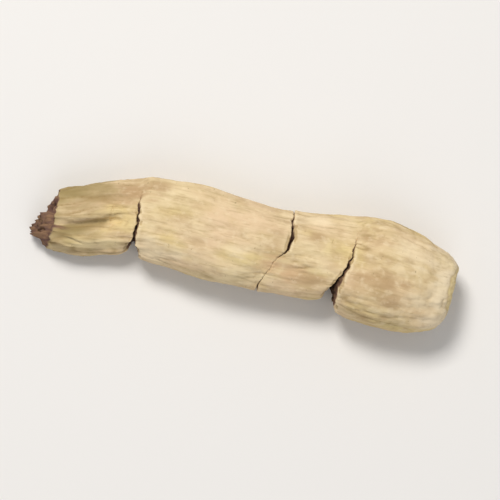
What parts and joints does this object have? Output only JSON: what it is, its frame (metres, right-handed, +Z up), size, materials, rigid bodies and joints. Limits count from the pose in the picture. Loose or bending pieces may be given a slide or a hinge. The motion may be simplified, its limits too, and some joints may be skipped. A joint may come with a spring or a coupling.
{
  "type": "morinda root",
  "caption": "Dried morinda root piece: a flattened, wrinkled stick with cracks across its bark, a shrivelled broken end and a thick cut end.",
  "frame": {"origin": "under the middle of the root, on the surface that it lies on", "axes": "+X along the root to its thick cut end, +Z up, +Y across the root, away from the flank where the cracks open into notches"},
  "size_m": [0.0463, 0.0121, 0.0089],
  "materials": {
    "bark": "matte, dry and finely wrinkled, pale yellowish grey-brown"
  },
  "bodies": {
    "root": {"morinda_root": "bark"}
  },
  "joints": []
}
